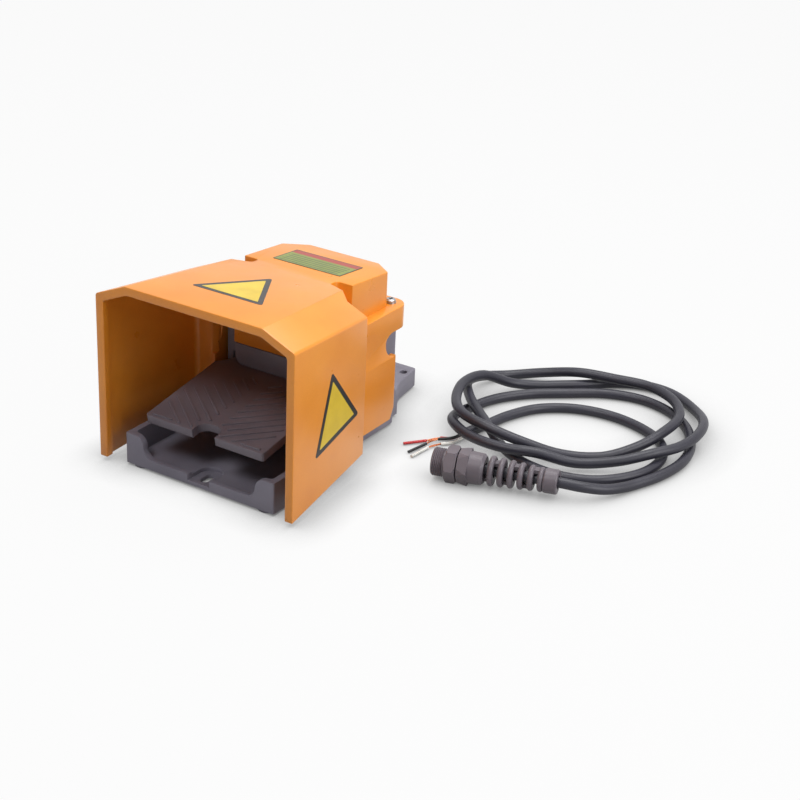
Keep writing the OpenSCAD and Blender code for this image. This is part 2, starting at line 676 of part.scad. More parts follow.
module pedal_bushes() { color("#D8D4C4") place() difference() {
    both() translate([lug_x - 15, hinge_y, hinge_z]) rotate([0, 90, 0]) {
        cylinder(r = bush_r, h = 15);
        translate([0, 0, 15]) cylinder(r = bush_r + 2, h = clip_x - side_play - lug_x);
    }
    hinge_bore(pin_r + pin_play);
} }
module striker() { color("#B4B8BC") place() pedal_frame() {
    translate([-tail_w / 2, tail_u - 18, -2]) cube([tail_w, 18, 2]);
} }
module hinge_pin() { color("#A8ACB0") place() difference() {
    translate([-house_hw + pin_inset, hinge_y, hinge_z]) rotate([0, 90, 0])
        cylinder(r = pin_r, h = 2 * (house_hw - pin_inset));
    both() translate([clip_x - 0.05, hinge_y, hinge_z]) rotate([0, 90, 0]) difference() {
        cylinder(r = pin_r + 2, h = clip_t + 0.1);
        translate([0, 0, -1]) cylinder(r = pin_r - 0.8, h = clip_t + 2);
    }
} }
module pin_clips() { color("#505458") place() both() translate([clip_x, hinge_y, hinge_z]) rotate([0, 90, 0])
    linear_extrude(clip_t) difference() {
        circle(pin_r + 2.6);
        circle(pin_r - 0.8);
        translate([-20, -2]) square([20, 4]);
    }
}
function helix(r, z0, z1, turns) = [for (i = [0 : turns * 12]) let (a = 30 * i)
    [r * cos(a), r * sin(a), z0 + (z1 - z0) * i / (turns * 12)]];
module return_springs() { color("#A0A4A8") place() for (s = [-1, 1]) translate([s * spring_x, hinge_y - spring_y, 0])
    tube(helix(spring_r, seat_z + spring_wire / 2 + 0.05, spring_top - spring_wire / 2 - 0.15, spring_turns),
        spring_wire / 2, 6);
}
module stop_buffers() { color("#282828") place() {
    for (s = [-1, 1]) translate([s * spring_x, hinge_y - 17, front_stop_z - stop_t]) cylinder(r = 6, h = stop_t);
    translate([0, contact_y - 12, rear_stop_z - stop_t]) cylinder(r = 7, h = stop_t);
} }

// ---------- snap switch ----------
module switch_holes(d) {
    for (p = [[contact_y - switch_len / 2 + 5, switch_z + switch_h - 6], [contact_y + switch_len / 2 - 5, switch_z + 6]])
        translate([-50, p[0], p[1]]) rotate([0, 90, 0]) cylinder(d = d, h = 100);
}
module switch_body() { color("#2C2E32") place() difference() {
    union() {
        translate([-switch_t / 2, contact_y - switch_len / 2, switch_z]) cube([switch_t, switch_len, switch_h]);
        translate([0, contact_y, switch_z - 2]) cylinder(r = button_r + 2.5, h = 3);
    }
    translate([0, contact_y, switch_z - 3]) cylinder(r = button_r + 0.3, h = 18);
    switch_holes(small_d + 0.4);
} }
module switch_button() { color("#C8C4B8") place() translate([0, contact_y, dome_z]) {
    sphere(button_r);
    cylinder(r = button_r, h = 11);
} }
module switch_terminals() { color("#C8A850") place()
    for (i = [-1 : 1]) translate([0, contact_y + 11 * i, switch_z + switch_h]) pan_screw(small_d, 6, 2.4, 0.01);
}
module switch_screws() { color("#B0B4B8") place() intersection() {
    for (p = [[contact_y - switch_len / 2 + 5, switch_z + switch_h - 6], [contact_y + switch_len / 2 - 5, switch_z + 6]])
        translate([-switch_t / 2, p[0], p[1]]) rotate([0, -90, 0])
            pan_screw(small_d, 5.6, 2.2, switch_t + 1 + bracket_t);
    translate([-60, 0, 0]) cube([200, 300, 200]);
} }
module switch_bracket() { color("#B8BABC") place() difference() {
    union() {
        translate([bracket_x - 1, contact_y - 16, floor_h + 4]) cube([bracket_t + 1, 36, switch_z + switch_h - floor_h - 6]);
        translate([bracket_x - 1, contact_y - 16, floor_h + 4]) cube([20, 36, bracket_t]);
    }
    switch_holes(small_d);
    for (y = bracket_ys) translate([bracket_x + 11, y, floor_h]) cylinder(d = small_d + 0.4, h = 20);
} }
module bracket_screws() { color("#B0B4B8") place()
    for (y = bracket_ys) translate([bracket_x + 11, y, floor_h + 4 + bracket_t]) pan_screw(small_d, 5.6, 2.2, 4 + bracket_t);
}
module earth_screw() { color("#C8A850") place()
    translate([earth_x, earth_y, floor_h + 6 + washer_t]) {
        pan_screw(screw_d, head_d, head_t, 6 + washer_t);
        translate([0, 0, -washer_t]) cylinder(d = head_d + 2, h = washer_t);
    }
}

// ---------- gland ----------
module gland_body() { color("#A8A49E") place() gland_frame() difference() {
    union() {
        cylinder(d = thread_d - 1.4, h = thread_len + neck_len + 1);
        for (i = [0 : floor(thread_len / thread_p) - 1]) translate([0, 0, 0.3 + i * thread_p])
            cylinder(d1 = thread_d - 1.4, d2 = thread_d, h = thread_p / 2);
        for (i = [0 : floor(thread_len / thread_p) - 1]) translate([0, 0, 0.3 + (i + 0.5) * thread_p])
            cylinder(d1 = thread_d, d2 = thread_d - 1.4, h = thread_p / 2);
        translate([0, 0, thread_len + neck_len]) intersection() {
            rotate([0, 0, 30]) cylinder(d = gland_af / cos(30), h = hex_t, $fn = 6);
            union() {
                cylinder(d1 = gland_af, d2 = gland_af + 4, h = 1.5);
                translate([0, 0, 1.5]) cylinder(d = gland_af + 4, h = hex_t - 3);
                translate([0, 0, hex_t - 1.5]) cylinder(d1 = gland_af + 4, d2 = gland_af, h = 1.5);
            }
        }
        translate([0, 0, nut_x - 1]) cylinder(d = collar_d, h = 8);
    }
    translate([0, 0, -1]) cylinder(d = lead_d + 1, h = 60);
    translate([0, 0, nut_x - 4]) cylinder(d = lead_d + 5, h = 20);
} }
module gland_seal() { color("#303030") place() gland_frame() difference() {
    translate([0, 0, nut_x - 4]) cylinder(d = lead_d + 5, h = 10);
    translate([0, 0, nut_x - 5]) cylinder(d = lead_d, h = 12);
} }
// Strain relief: rings that taper to the end ring, joined by webs on alternate sides
function relief_r(i) = gland_af / 2 - 1 - i * 0.45;
module gland_nut() { color("#A8A49E") place() gland_frame() difference() {
    union() {
        translate([0, 0, nut_x + 1]) intersection() {
            rotate([0, 0, 30]) cylinder(d = gland_af / cos(30), h = nut_hex, $fn = 6);
            cylinder(d1 = gland_af + 1, d2 = gland_af + 4, h = nut_hex);
        }
        translate([0, 0, nut_x + nut_hex]) cylinder(d1 = gland_af - 0.2, d2 = gland_af - 1.4, h = dome_len - 2);
        translate([0, 0, relief_x - 2]) cylinder(d1 = gland_af - 1.4, d2 = gland_af - 5, h = 2);
        for (i = [0 : relief_n - 1]) translate([0, 0, relief_x + (i + 0.6) * relief_p]) {
            rotate_extrude() translate([lead_r + 1.2, 0]) {
                translate([0, -1.3]) square([relief_r(i) - lead_r - 3.4, 4]);
                translate([relief_r(i) - lead_r - 3.4, 0.7]) circle(2.2, $fn = 24);
                translate([relief_r(i) - lead_r - 3.4, -1.3]) square([1, 4]);
            }
            rotate([0, 0, 180 * (i % 2)]) translate([lead_r + 1.2, -3, -relief_p + 1]) cube([3, 6, relief_p]);
        }
        rotate([0, 0, 180 * (relief_n % 2)]) translate([lead_r + 1.2, -3, relief_x + (relief_n - 0.4) * relief_p])
            cube([3, 6, relief_p]);
        translate([0, 0, relief_x + relief_n * relief_p]) {
            cylinder(d1 = 18, d2 = 19, h = 1);
            translate([0, 0, 1]) cylinder(d = 19, h = ring_len - 2);
            translate([0, 0, ring_len - 1]) cylinder(d1 = 19, d2 = 18, h = 1);
        }
    }
    translate([0, 0, nut_x - 1]) cylinder(d = collar_d + 0.2, h = 9);
    translate([0, 0, nut_x - 1]) cylinder(r = lead_r + 1.2, h = 200);
} }

// ---------- lead ----------
// Start of the lead: straight through the gland
gland_dir = [cos(gland_turn), sin(gland_turn), 0];
gland_at = [gland_x, gland_y, gland_z];
LZ = lead_z;
TZ = top_z;
HZ = hump_z;
LEAD = concat([for (d = [4, 35, 66, 97]) gland_at + d * gland_dir], [
    // right-hand turn and back to the left, on the floor
    [237, 165, 11], [250, 180, 7], [260, 203, LZ], [270, 230, LZ], [274, 260, LZ], [268, 290, LZ], [252, 318, LZ],
    [228, 338, LZ], [198, 346, LZ], [168, 338, LZ], [141, 318, LZ], [118, 298, LZ], [101, 274, LZ],
    // left-hand turn and front strand, over the free end
    [93, 248, LZ], [93, 221, 8], [104, 197, TZ], [128, 183, TZ], [157, 181, TZ], [184, 189, TZ], [210, 204, 7],
    [236, 222, 9],
    // widest turn, over the first one
    [256, 242, TZ], [268, 266, TZ], [271, 293, TZ], [264, 322, TZ - 2], [245, 350, 6], [217, 371, LZ], [190, 374, LZ],
    [167, 364, LZ], [144, 342, LZ], [120, 321, LZ], [99, 301, 8],
    // highest hump, on the left
    [86, 275, 21], [83, 247, HZ + 1], [93, 219, HZ], [111, 199, HZ], [137, 193, HZ - 2], [166, 199, TZ], [193, 212, 6],
    [219, 230, LZ], [238, 255, 9], [247, 284, TZ], [245, 316, TZ], [228, 342, TZ], [200, 355, TZ], [170, 351, TZ],
    [140, 344, TZ], [111, 337, 8], [85, 321, LZ], [71, 296, 8],
    // down the left side, over the first turn and the free end
    [75, 268, TZ], [91, 245, TZ], [109, 227, TZ], [127, 211, 13], [150, 196, 6], [178, 184, LZ], [208, 182, LZ],
    [236, 194, LZ], [256, 222, LZ], [259, 254, LZ], [246, 281, LZ],
    // innermost turn to the free end
    [222, 296, LZ], [192, 302, LZ], [162, 296, LZ], [138, 278, LZ], [125, 252, LZ], [119, 226, LZ], [113, 201, LZ]]);
module lead() { color("#46445A") place() tube(route(LEAD, 1), lead_r, 10); }
CORE_END = [113, 201, LZ];
module core(p, q, r, s) {
    tube(route([CORE_END + p, q, r], 3), core_d / 2, 8);
    tube(route([s[0], s[1]], 3), core_d / 2 - 0.1, 8);
}
black_tip = [100, 182, 2.6];
white_tip = [105, 178, 1.5];
red_tip = [99, 187, 1.5];
red_slug = [[93, 176, 1.6], [81, 161, 1.4]];
black_slug = [[96, 171, 1.8], [92, 151, 1.4]];
white_slug = [[100, 167, 1.4], [98, 146, 1.4]];
module core_black() { color("#202024") place() core([0, 0.2, 1.6], [110, 190, 4], black_tip, black_slug); }
module core_white() { color("#E8E8E8") place() core([1.5, 0, -1], [112, 187, 1.6], white_tip, white_slug); }
module core_red() { color("#B02028") place() core([-1.5, 0.3, -1], [107, 192, 1.6], red_tip, red_slug); }
module copper_strands() { color("#B87848") place() {
    tube(route([black_tip, [97, 177, 2.2], black_slug[0]], 2), 0.6, 6);
    tube(route([white_tip, [102, 172, 1.4], white_slug[0]], 2), 0.6, 6);
    tube(route([red_tip, [96, 182, 1.4], red_slug[0]], 2), 0.6, 6);
} }

base_casting();
guard_cover();
cover_gasket();
cover_screws();
cover_washers();
pedal();
pedal_bushes();
striker();
hinge_pin();
pin_clips();
return_springs();
stop_buffers();
switch_body();
switch_button();
switch_terminals();
switch_screws();
switch_bracket();
bracket_screws();
earth_screw();
gland_body();
gland_seal();
gland_nut();
lead();
core_black();
core_white();
core_red();
copper_strands();
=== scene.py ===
import json
import math
import random

import bmesh
import bpy
from mathutils import Matrix, Vector


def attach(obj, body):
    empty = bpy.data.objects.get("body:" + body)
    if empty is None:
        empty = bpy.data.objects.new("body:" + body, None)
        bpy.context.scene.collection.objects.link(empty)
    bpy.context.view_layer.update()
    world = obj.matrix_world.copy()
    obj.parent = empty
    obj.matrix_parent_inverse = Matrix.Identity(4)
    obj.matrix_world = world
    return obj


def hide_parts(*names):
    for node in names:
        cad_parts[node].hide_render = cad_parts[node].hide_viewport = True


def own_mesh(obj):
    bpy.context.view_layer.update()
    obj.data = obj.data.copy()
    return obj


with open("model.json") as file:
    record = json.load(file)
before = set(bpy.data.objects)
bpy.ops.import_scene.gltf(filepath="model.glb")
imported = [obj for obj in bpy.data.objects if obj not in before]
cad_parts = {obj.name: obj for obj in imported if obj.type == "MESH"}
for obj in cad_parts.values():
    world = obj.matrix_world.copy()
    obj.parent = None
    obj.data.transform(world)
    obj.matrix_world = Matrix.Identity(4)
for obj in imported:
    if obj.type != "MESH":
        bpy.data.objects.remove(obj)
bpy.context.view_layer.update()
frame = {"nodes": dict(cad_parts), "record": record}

nodes = frame["nodes"]
MM = 0.001
# The drawing's y runs back from the guard's mouth; the frame's origin is the middle of the length
MOUTH_Y = -129.75
BODY = "base"


def at(x, y, z):
    """A point of the drawing, given in millimetres from the guard's mouth, in metres in the frame."""
    return Vector((x, y + MOUTH_Y, z)) * MM


def deselect():
    if bpy.context.object and bpy.context.object.mode != "OBJECT":
        bpy.ops.object.mode_set(mode="OBJECT")
    bpy.ops.object.select_all(action="DESELECT")


def only(piece):
    """Makes one piece the selected and the active one."""
    deselect()
    piece.select_set(True)
    bpy.context.view_layer.objects.active = piece


def joined(parts, name):
    """Turns curves into one mesh piece."""
    deselect()
    for part in parts:
        part.select_set(True)
    bpy.context.view_layer.objects.active = parts[0]
    bpy.ops.object.convert(target="MESH")
    bpy.ops.object.join()
    piece = bpy.context.view_layer.objects.active
    piece.name = name
    return piece


# ------------------------------------------------------------------ camera
YAW, PITCH, ROLL = (math.radians(angle) for angle in (31.756, 25.167, 2.587))
LENS = 80.2
SENSOR = 36.0
CAMERA_AIM = (0, 90, 72)
# Right, up and back from the aim, along the camera's own axes
CAMERA_OFFSET = (100.89, -27.0, 1353.96)


def place_camera():
    level = Matrix.Rotation(YAW, 3, "Z") @ Matrix.Rotation(math.pi / 2 - PITCH, 3, "X")
    turn = level @ Matrix.Rotation(ROLL, 3, "Z")
    data = bpy.data.cameras.new("camera")
    data.lens = LENS
    data.sensor_width = SENSOR
    camera = bpy.data.objects.new("camera", data)
    bpy.context.scene.collection.objects.link(camera)
    offset = turn @ Vector(CAMERA_OFFSET)
    camera.matrix_world = Matrix.Translation(at(*CAMERA_AIM) + offset * MM) @ turn.to_4x4()
    bpy.context.scene.camera = camera


place_camera()


# ------------------------------------------------------------------ lead
def spline(points, steps):
    """Points along a smooth curve through all the given points."""
    out = []
    last = len(points) - 1
    for i in range(last):
        a, b, c, d = (points[max(i - 1, 0)], points[i], points[i + 1], points[min(i + 2, last)])
        for j in range(steps):
            t = j / steps
            out.append(0.5 * ((2 * b) + (c - a) * t + (2 * a - 5 * b + 4 * c - d) * t * t
                              + (3 * b - a - 3 * c + d) * t * t * t))
    out.append(points[last])
    return out


def cable(name, points, radius, sides=4, caps=True):
    data = bpy.data.curves.new(name, "CURVE")
    data.dimensions = "3D"
    data.bevel_depth = radius
    data.bevel_resolution = sides
    data.use_fill_caps = caps
    line = data.splines.new("POLY")
    line.points.add(len(points) - 1)
    for point, p in zip(line.points, points):
        point.co = (p.x, p.y, p.z, 1.0)
    line.use_smooth = True
    piece = bpy.data.objects.new(name, data)
    bpy.context.scene.collection.objects.link(piece)
    return piece


LEAD_D = 8.2
# Heights of the lead's middle: on the floor, over one strand, and over two
LZ = LEAD_D / 2 + 0.1
TZ = LZ + LEAD_D + 1.2
HZ = TZ + LEAD_D + 0.6
TURN = math.radians(16)
GLAND = Vector((127, 131, 12.75))
GLAND_DIR = Vector((math.cos(TURN), math.sin(TURN), 0))
ROUTE = [tuple(GLAND + d * GLAND_DIR) for d in (4, 35, 66, 97)] + [
    # right-hand turn and back to the left, on the floor
    (237, 165, 11), (250, 180, 7), (260, 203, LZ), (270, 230, LZ), (274, 260, LZ), (268, 290, LZ),
    (252, 318, LZ), (228, 338, LZ), (198, 346, LZ), (168, 338, LZ), (141, 318, LZ), (118, 298, LZ),
    (101, 274, LZ),
    # left-hand turn and front strand, over the free end
    (93, 248, LZ), (93, 221, 8), (104, 197, TZ), (128, 183, TZ), (157, 181, TZ), (184, 189, TZ),
    (210, 204, 7), (236, 222, 9),
    # widest turn, over the first one
    (256, 242, TZ), (268, 266, TZ), (271, 293, TZ), (264, 322, TZ - 2), (245, 350, 6), (217, 371, LZ),
    (190, 374, LZ), (167, 364, LZ), (144, 342, LZ), (120, 321, LZ), (99, 301, 8),
    # highest hump, on the left
    (86, 275, 21), (83, 247, HZ + 1), (93, 219, HZ), (111, 199, HZ), (137, 193, HZ - 2), (166, 199, TZ),
    (193, 212, 6), (219, 230, LZ), (238, 255, 9), (247, 284, TZ), (245, 316, TZ), (228, 342, TZ),
    (200, 355, TZ), (170, 351, TZ), (140, 344, TZ), (111, 337, 8), (85, 321, LZ), (71, 296, 8),
    # down the left side, over the first turn and the free end
    (75, 268, TZ), (91, 245, TZ), (109, 227, TZ), (127, 211, 13), (150, 196, 6), (178, 184, LZ),
    (208, 182, LZ), (236, 194, LZ), (256, 222, LZ), (259, 254, LZ), (246, 281, LZ),
    # innermost turn to the free end
    (222, 296, LZ), (192, 302, LZ), (162, 296, LZ), (138, 278, LZ), (125, 252, LZ), (119, 226, LZ),
    (113, 201, LZ)]
smooth_route = spline([at(*p) for p in ROUTE], 6)
for p in smooth_route:
    p.z = max(p.z, LZ * MM)
lead = cable("lead_sheath", smooth_route, LEAD_D / 2 * MM, 6)

# Insulated cores, the loose slugs at their tips and the bare strands between them
CORE_R = 1.25
LEAD_END = ROUTE[-1]


def core(name, start, middle, near_tip, tip, slug):
    """One core from the end of the sheath, and the slug of insulation beyond its bare strands."""
    root = [end + step for end, step in zip(LEAD_END, start)]
    first = [at(*root), at(*middle), at(*near_tip)]
    piece = cable("core_" + name, spline(first, 5), CORE_R * MM, 3)
    second = cable("slug_" + name, spline([at(*tip), at(*slug)], 3), (CORE_R - 0.1) * MM, 3)
    return piece, second


black = core("black_wire", (0, 0.2, 1.6), (110, 190, 4), (100, 182, 2.6), (96, 171, 1.8), (92, 151, 1.4))
white = core("white_wire", (1.5, 0, -1), (112, 187, 1.6), (105, 178, 1.5), (100, 167, 1.4), (98, 146, 1.4))
red = core("red_wire", (-1.5, 0.3, -1), (107, 192, 1.6), (99, 187, 1.5), (93, 176, 1.6), (81, 161, 1.4))


STRAND_R = 0.2
STRAND_PITCH = 0.42


def strands(name, a, b, c):
    """Seven fine strands, slightly fanned out, joined into one piece."""
    random.seed(7)
    made = []
    for i in range(7):
        turn = 2 * math.pi * i / 6
        ring = Vector((math.cos(turn) * STRAND_PITCH, 0.1, math.sin(turn) * STRAND_PITCH))
        off = Vector((0, 0, 0)) if i == 6 else ring
        fan = off * (1.3 + 0.5 * random.random())
        line = [at(*a) + off * MM, at(*b) + fan * MM, at(*c) + off * MM]
        made.append(cable(f"strand_{name}_{i}", spline(line, 4), STRAND_R * MM, 1))
    return joined(made, "strands_" + name)


copper = [strands("black", (100, 182, 2.6), (97, 177, 2.2), (96, 171, 1.8)),
          strands("white", (105, 178, 1.5), (102, 172, 1.4), (100, 167, 1.4)),
          strands("red", (99, 187, 1.5), (96, 182, 1.4), (93, 176, 1.6))]


# ------------------------------------------------------------------ materials
def colour(red_, green_, blue_):
    """A colour of the 0 to 255 scale as the linear values that shaders take."""
    def linear(v):
        v /= 255
        return v / 12.92 if v <= 0.04045 else ((v + 0.055) / 1.055) ** 2.4
    return (linear(red_), linear(green_), linear(blue_), 1.0)


class Finish:
    """A material with its node tree and a few steps that every finish here shares."""

    def __init__(self, name, metallic=0.0):
        self.material = bpy.data.materials.new(name)
        self.material.use_nodes = True
        self.tree = self.material.node_tree
        self.shader = next(n for n in self.tree.nodes if n.type == "BSDF_PRINCIPLED")
        self.shader.inputs["Metallic"].default_value = metallic
        self.place = self.add("ShaderNodeTexCoord").outputs["Object"]
        self.height = None

    def add(self, kind, **values):
        node = self.tree.nodes.new(kind)
        for key, value in values.items():
            if hasattr(node, key):
                setattr(node, key, value)
            else:
                node.inputs[key].default_value = value
        return node

    def link(self, a, b):
        self.tree.links.new(a, b)

    def noise(self, scale, detail=2.0, roughness=0.5, stretch=None):
        """Noise with features of about 1 / scale metres; stretch thins it along chosen axes."""
        source = self.place
        if stretch:
            mapping = self.add("ShaderNodeMapping")
            mapping.inputs["Scale"].default_value = stretch
            self.link(self.place, mapping.inputs["Vector"])
            source = mapping.outputs["Vector"]
        node = self.add("ShaderNodeTexNoise", Scale=scale, Detail=detail, Roughness=roughness)
        self.link(source, node.inputs["Vector"])
        return node.outputs["Fac"]

    def ramp(self, source, stops):
        node = self.add("ShaderNodeValToRGB")
        while len(node.color_ramp.elements) < len(stops):
            node.color_ramp.elements.new(0.5)
        for element, (position, value) in zip(node.color_ramp.elements, stops):
            element.position = position
            element.color = value
        self.link(source, node.inputs["Fac"])
        return node.outputs["Color"]

    def spread(self, source, low, high):
        """Maps a 0 to 1 value on to a range."""
        node = self.add("ShaderNodeMapRange")
        node.inputs["To Min"].default_value = low
        node.inputs["To Max"].default_value = high
        self.link(source, node.inputs["Value"])
        return node.outputs["Result"]

    def mix(self, factor, a, b, how="MIX"):
        node = self.add("ShaderNodeMix", data_type="RGBA", blend_type=how)
        for socket, value in ((node.inputs[0], factor), (node.inputs[6], a), (node.inputs[7], b)):
            if hasattr(value, "is_linked"):
                self.link(value, socket)
            else:
                socket.default_value = value
        return node.outputs[2]

    def math(self, how, a, b=0.0):
        node = self.add("ShaderNodeMath", operation=how)
        for socket, value in zip(node.inputs, (a, b)):
            if hasattr(value, "is_linked"):
                self.link(value, socket)
            else:
                socket.default_value = value
        return node.outputs[0]

    def base(self, source):
        self.link(source, self.shader.inputs["Base Color"])

    def rough(self, source):
        self.link(source, self.shader.inputs["Roughness"])

    def bump(self, source, depth, strength=1.0):
        """Adds one layer of relief, depth metres deep."""
        node = self.add("ShaderNodeBump", Strength=strength, Distance=depth)
        self.link(source, node.inputs["Height"])
        if self.height:
            self.link(self.height, node.inputs["Normal"])
        self.height = node.outputs["Normal"]
        self.link(self.height, self.shader.inputs["Normal"])


def powder_coat(name, tone, dark, light, roughness, grain, depth, gloss):
    """Baked powder paint: cloudy colour, orange-peel relief and a soft gloss."""
    made = Finish(name)
    cloud = made.ramp(made.noise(18, 3), [(0.3, dark), (0.55, tone), (0.8, light)])
    speck = made.ramp(made.noise(1500, 2), [(0.35, (0.94, 0.94, 0.94, 1)), (0.65, (1, 1, 1, 1))])
    made.base(made.mix(1.0, cloud, speck, "MULTIPLY"))
    made.rough(made.spread(made.noise(70, 3), *roughness))
    made.bump(made.noise(grain, 2), depth, 0.35)
    made.bump(made.noise(grain * 3, 1), depth * 0.3, 0.3)
    made.shader.inputs["Specular IOR Level"].default_value = gloss
    return made.material


def plastic(name, tone, dark, roughness=(0.38, 0.5), grain=1400, gloss=0.45):
    """Moulded plastic with a fine spark-eroded texture."""
    made = Finish(name)
    made.base(made.ramp(made.noise(45, 3), [(0.3, dark), (0.7, tone)]))
    made.rough(made.spread(made.noise(260, 2), *roughness))
    made.bump(made.noise(grain, 2), 0.00002, 0.4)
    made.shader.inputs["Specular IOR Level"].default_value = gloss
    return made.material


def metal(name, tone, dark, roughness=(0.22, 0.4), lines=(1, 1, 30)):
    """Plated or turned metal with fine tool marks and cloudy tarnish."""
    made = Finish(name, 1.0)
    made.base(made.ramp(made.noise(120, 4), [(0.3, dark), (0.65, tone)]))
    made.rough(made.spread(made.noise(300, 3), *roughness))
    made.bump(made.noise(260, 2, stretch=lines), 0.000015, 0.5)
    return made.material


def rubber(name, tone, dark):
    """Matt rubber with a dusty bloom."""
    made = Finish(name)
    made.base(made.ramp(made.noise(90, 4), [(0.35, tone), (0.75, dark)]))
    made.rough(made.spread(made.noise(200, 2), 0.55, 0.75))
    made.bump(made.noise(900, 3), 0.00003, 0.5)
    return made.material


yellow = powder_coat("yellow_powder_coat", colour(231, 144, 42), colour(225, 136, 34), colour(236, 151, 50),
                     (0.24, 0.36), 620, 0.00005, 0.55)
grey = powder_coat("grey_cast_paint", colour(126, 122, 134), colour(114, 110, 122),
                   colour(138, 134, 146), (0.42, 0.55), 480, 0.00007, 0.4)
tread_grey = powder_coat("grey_tread_paint", colour(112, 104, 112), colour(100, 92, 100),
                         colour(124, 116, 124), (0.45, 0.6), 480, 0.00007, 0.35)
gland_grey = plastic("gland_nylon", colour(100, 92, 99), colour(88, 81, 88), (0.35, 0.48))
sheath = plastic("lead_rubber", colour(40, 39, 50), colour(33, 32, 42), (0.38, 0.5), 900, 0.45)
red_skin = plastic("red_insulation", colour(196, 36, 40), colour(176, 26, 32))
black_skin = plastic("black_insulation", colour(30, 30, 34), colour(20, 20, 24))
white_skin = plastic("white_insulation", colour(232, 232, 228), colour(214, 214, 208))
bush_white = plastic("bush_nylon", colour(222, 218, 204), colour(206, 202, 188))
switch_black = plastic("switch_plastic", colour(40, 42, 46), colour(30, 32, 36))
seal_black = rubber("seal_rubber", colour(34, 34, 36), colour(48, 48, 50))
steel = metal("plated_steel", colour(190, 192, 196), colour(150, 152, 156))
spring_steel = metal("spring_steel", colour(150, 152, 158), colour(104, 106, 112), (0.25, 0.4))
brass = metal("brass", colour(206, 170, 96), colour(170, 132, 66))
copper_metal = metal("bare_copper", colour(206, 132, 96), colour(160, 92, 60), (0.25, 0.4), (1, 1, 8))

NODE_FINISH = {
    "cover_gasket": seal_black, "cover_screws": steel, "cover_washers": steel,
    "pedal_bushes": bush_white, "striker": steel, "hinge_pin": steel, "pin_clips": spring_steel,
    "stop_buffers": seal_black, "switch_body": switch_black, "switch_button": bush_white,
    "switch_terminals": brass, "switch_screws": steel, "switch_bracket": steel,
    "bracket_screws": steel, "earth_screw": brass, "gland_body": gland_grey,
    "gland_seal": seal_black, "gland_nut": gland_grey}


def dress(piece, material):
    piece.data.materials.clear()
    piece.data.materials.append(material)


for node_name, material in NODE_FINISH.items():
    dress(nodes[node_name], material)

dress(lead, sheath)
for pair, skin in ((black, black_skin), (white, white_skin), (red, red_skin)):
    for piece in pair:
        dress(piece, skin)
for piece in copper:
    dress(piece, copper_metal)

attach(lead, BODY)
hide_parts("lead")
for pair, node_name in ((black, "core_black"), (white, "core_white"), (red, "core_red")):
    for piece in pair:
        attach(piece, BODY)
    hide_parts(node_name)
for piece in copper:
    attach(piece, BODY)
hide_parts("copper_strands")


# ------------------------------------------------------------------ castings with rounded edges
def mark_edges(piece, width, share, sharp_spots):
    """Gives a bevel weight to each sharp outer edge that has room for the rounding at both of its ends."""
    shape = bmesh.new()
    shape.from_mesh(piece.data)
    weight = shape.edges.layers.float.new("bevel_weight_edge")
    marked = {e for e in shape.edges
              if len(e.link_faces) == 2 and e.is_convex and e.calc_face_angle(0) > math.radians(SHARP_ANGLE)}
    for edge in marked:
        along = (edge.verts[1].co - edge.verts[0].co).normalized()
        room = width
        for vert in edge.verts:
            for other in vert.link_edges:
                run = other.other_vert(vert).co - vert.co
                lean = abs(run.normalized().dot(along))
                if other is edge or lean > 0.85:
                    continue
                half = 0.45 if any(e in marked for e in other.other_vert(vert).link_edges) else 0.9
                room = min(room, run.length * math.sqrt(1 - lean * lean) * half)
        middle = (edge.verts[0].co + edge.verts[1].co) / 2
        kept_sharp = any(all(a <= c <= b for a, c, b in zip(low, middle, high)) for low, high in sharp_spots)
        edge[weight] = 1.0 if room >= width * share and not kept_sharp else 0.0
    shape.to_mesh(piece.data)
    shape.free()


# Edges flatter than this stay as they are, and faces that meet at less are shaded as one, in degrees
SHARP_ANGLE, SMOOTH_ANGLE = 32, 28


def rounded_copy(node_name, name, material, width, sharp_spots=(), segments=2, share=1.0):
    """A copy of a casting whose sharp edges are rounded as paint and casting leave them."""
    source = nodes[node_name]
    piece = bpy.data.objects.new(name, source.data.copy())
    bpy.context.scene.collection.objects.link(piece)
    front = MOUTH_Y * MM
    for vert in piece.data.vertices:
        if abs(vert.co.y - front) < 0.00003:
            vert.co.y = front
    only(piece)
    bpy.ops.mesh.customdata_custom_splitnormals_clear()
    bpy.ops.object.mode_set(mode="EDIT")
    bpy.ops.mesh.select_all(action="SELECT")
    bpy.ops.mesh.remove_doubles(threshold=0.00002)
    bpy.ops.mesh.dissolve_limited(angle_limit=math.radians(1.0), use_dissolve_boundaries=False)
    bpy.ops.object.mode_set(mode="OBJECT")
    mark_edges(piece, width, share, sharp_spots)
    bevel = piece.modifiers.new("edges", "BEVEL")
    bevel.width = width
    bevel.segments = segments
    bevel.limit_method = "WEIGHT"
    bevel.use_clamp_overlap = False
    bevel.miter_outer = "MITER_SHARP"
    bpy.ops.object.modifier_apply(modifier=bevel.name)
    bpy.ops.object.shade_smooth_by_angle(angle=math.radians(SMOOTH_ANGLE))
    dress(piece, material)
    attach(piece, frame_body(node_name))
    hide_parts(node_name)
    return piece


def frame_body(node_name):
    bodies = frame["record"]["behaviour"]["bodies"]
    return next(name for name, members in bodies.items() if node_name in members)


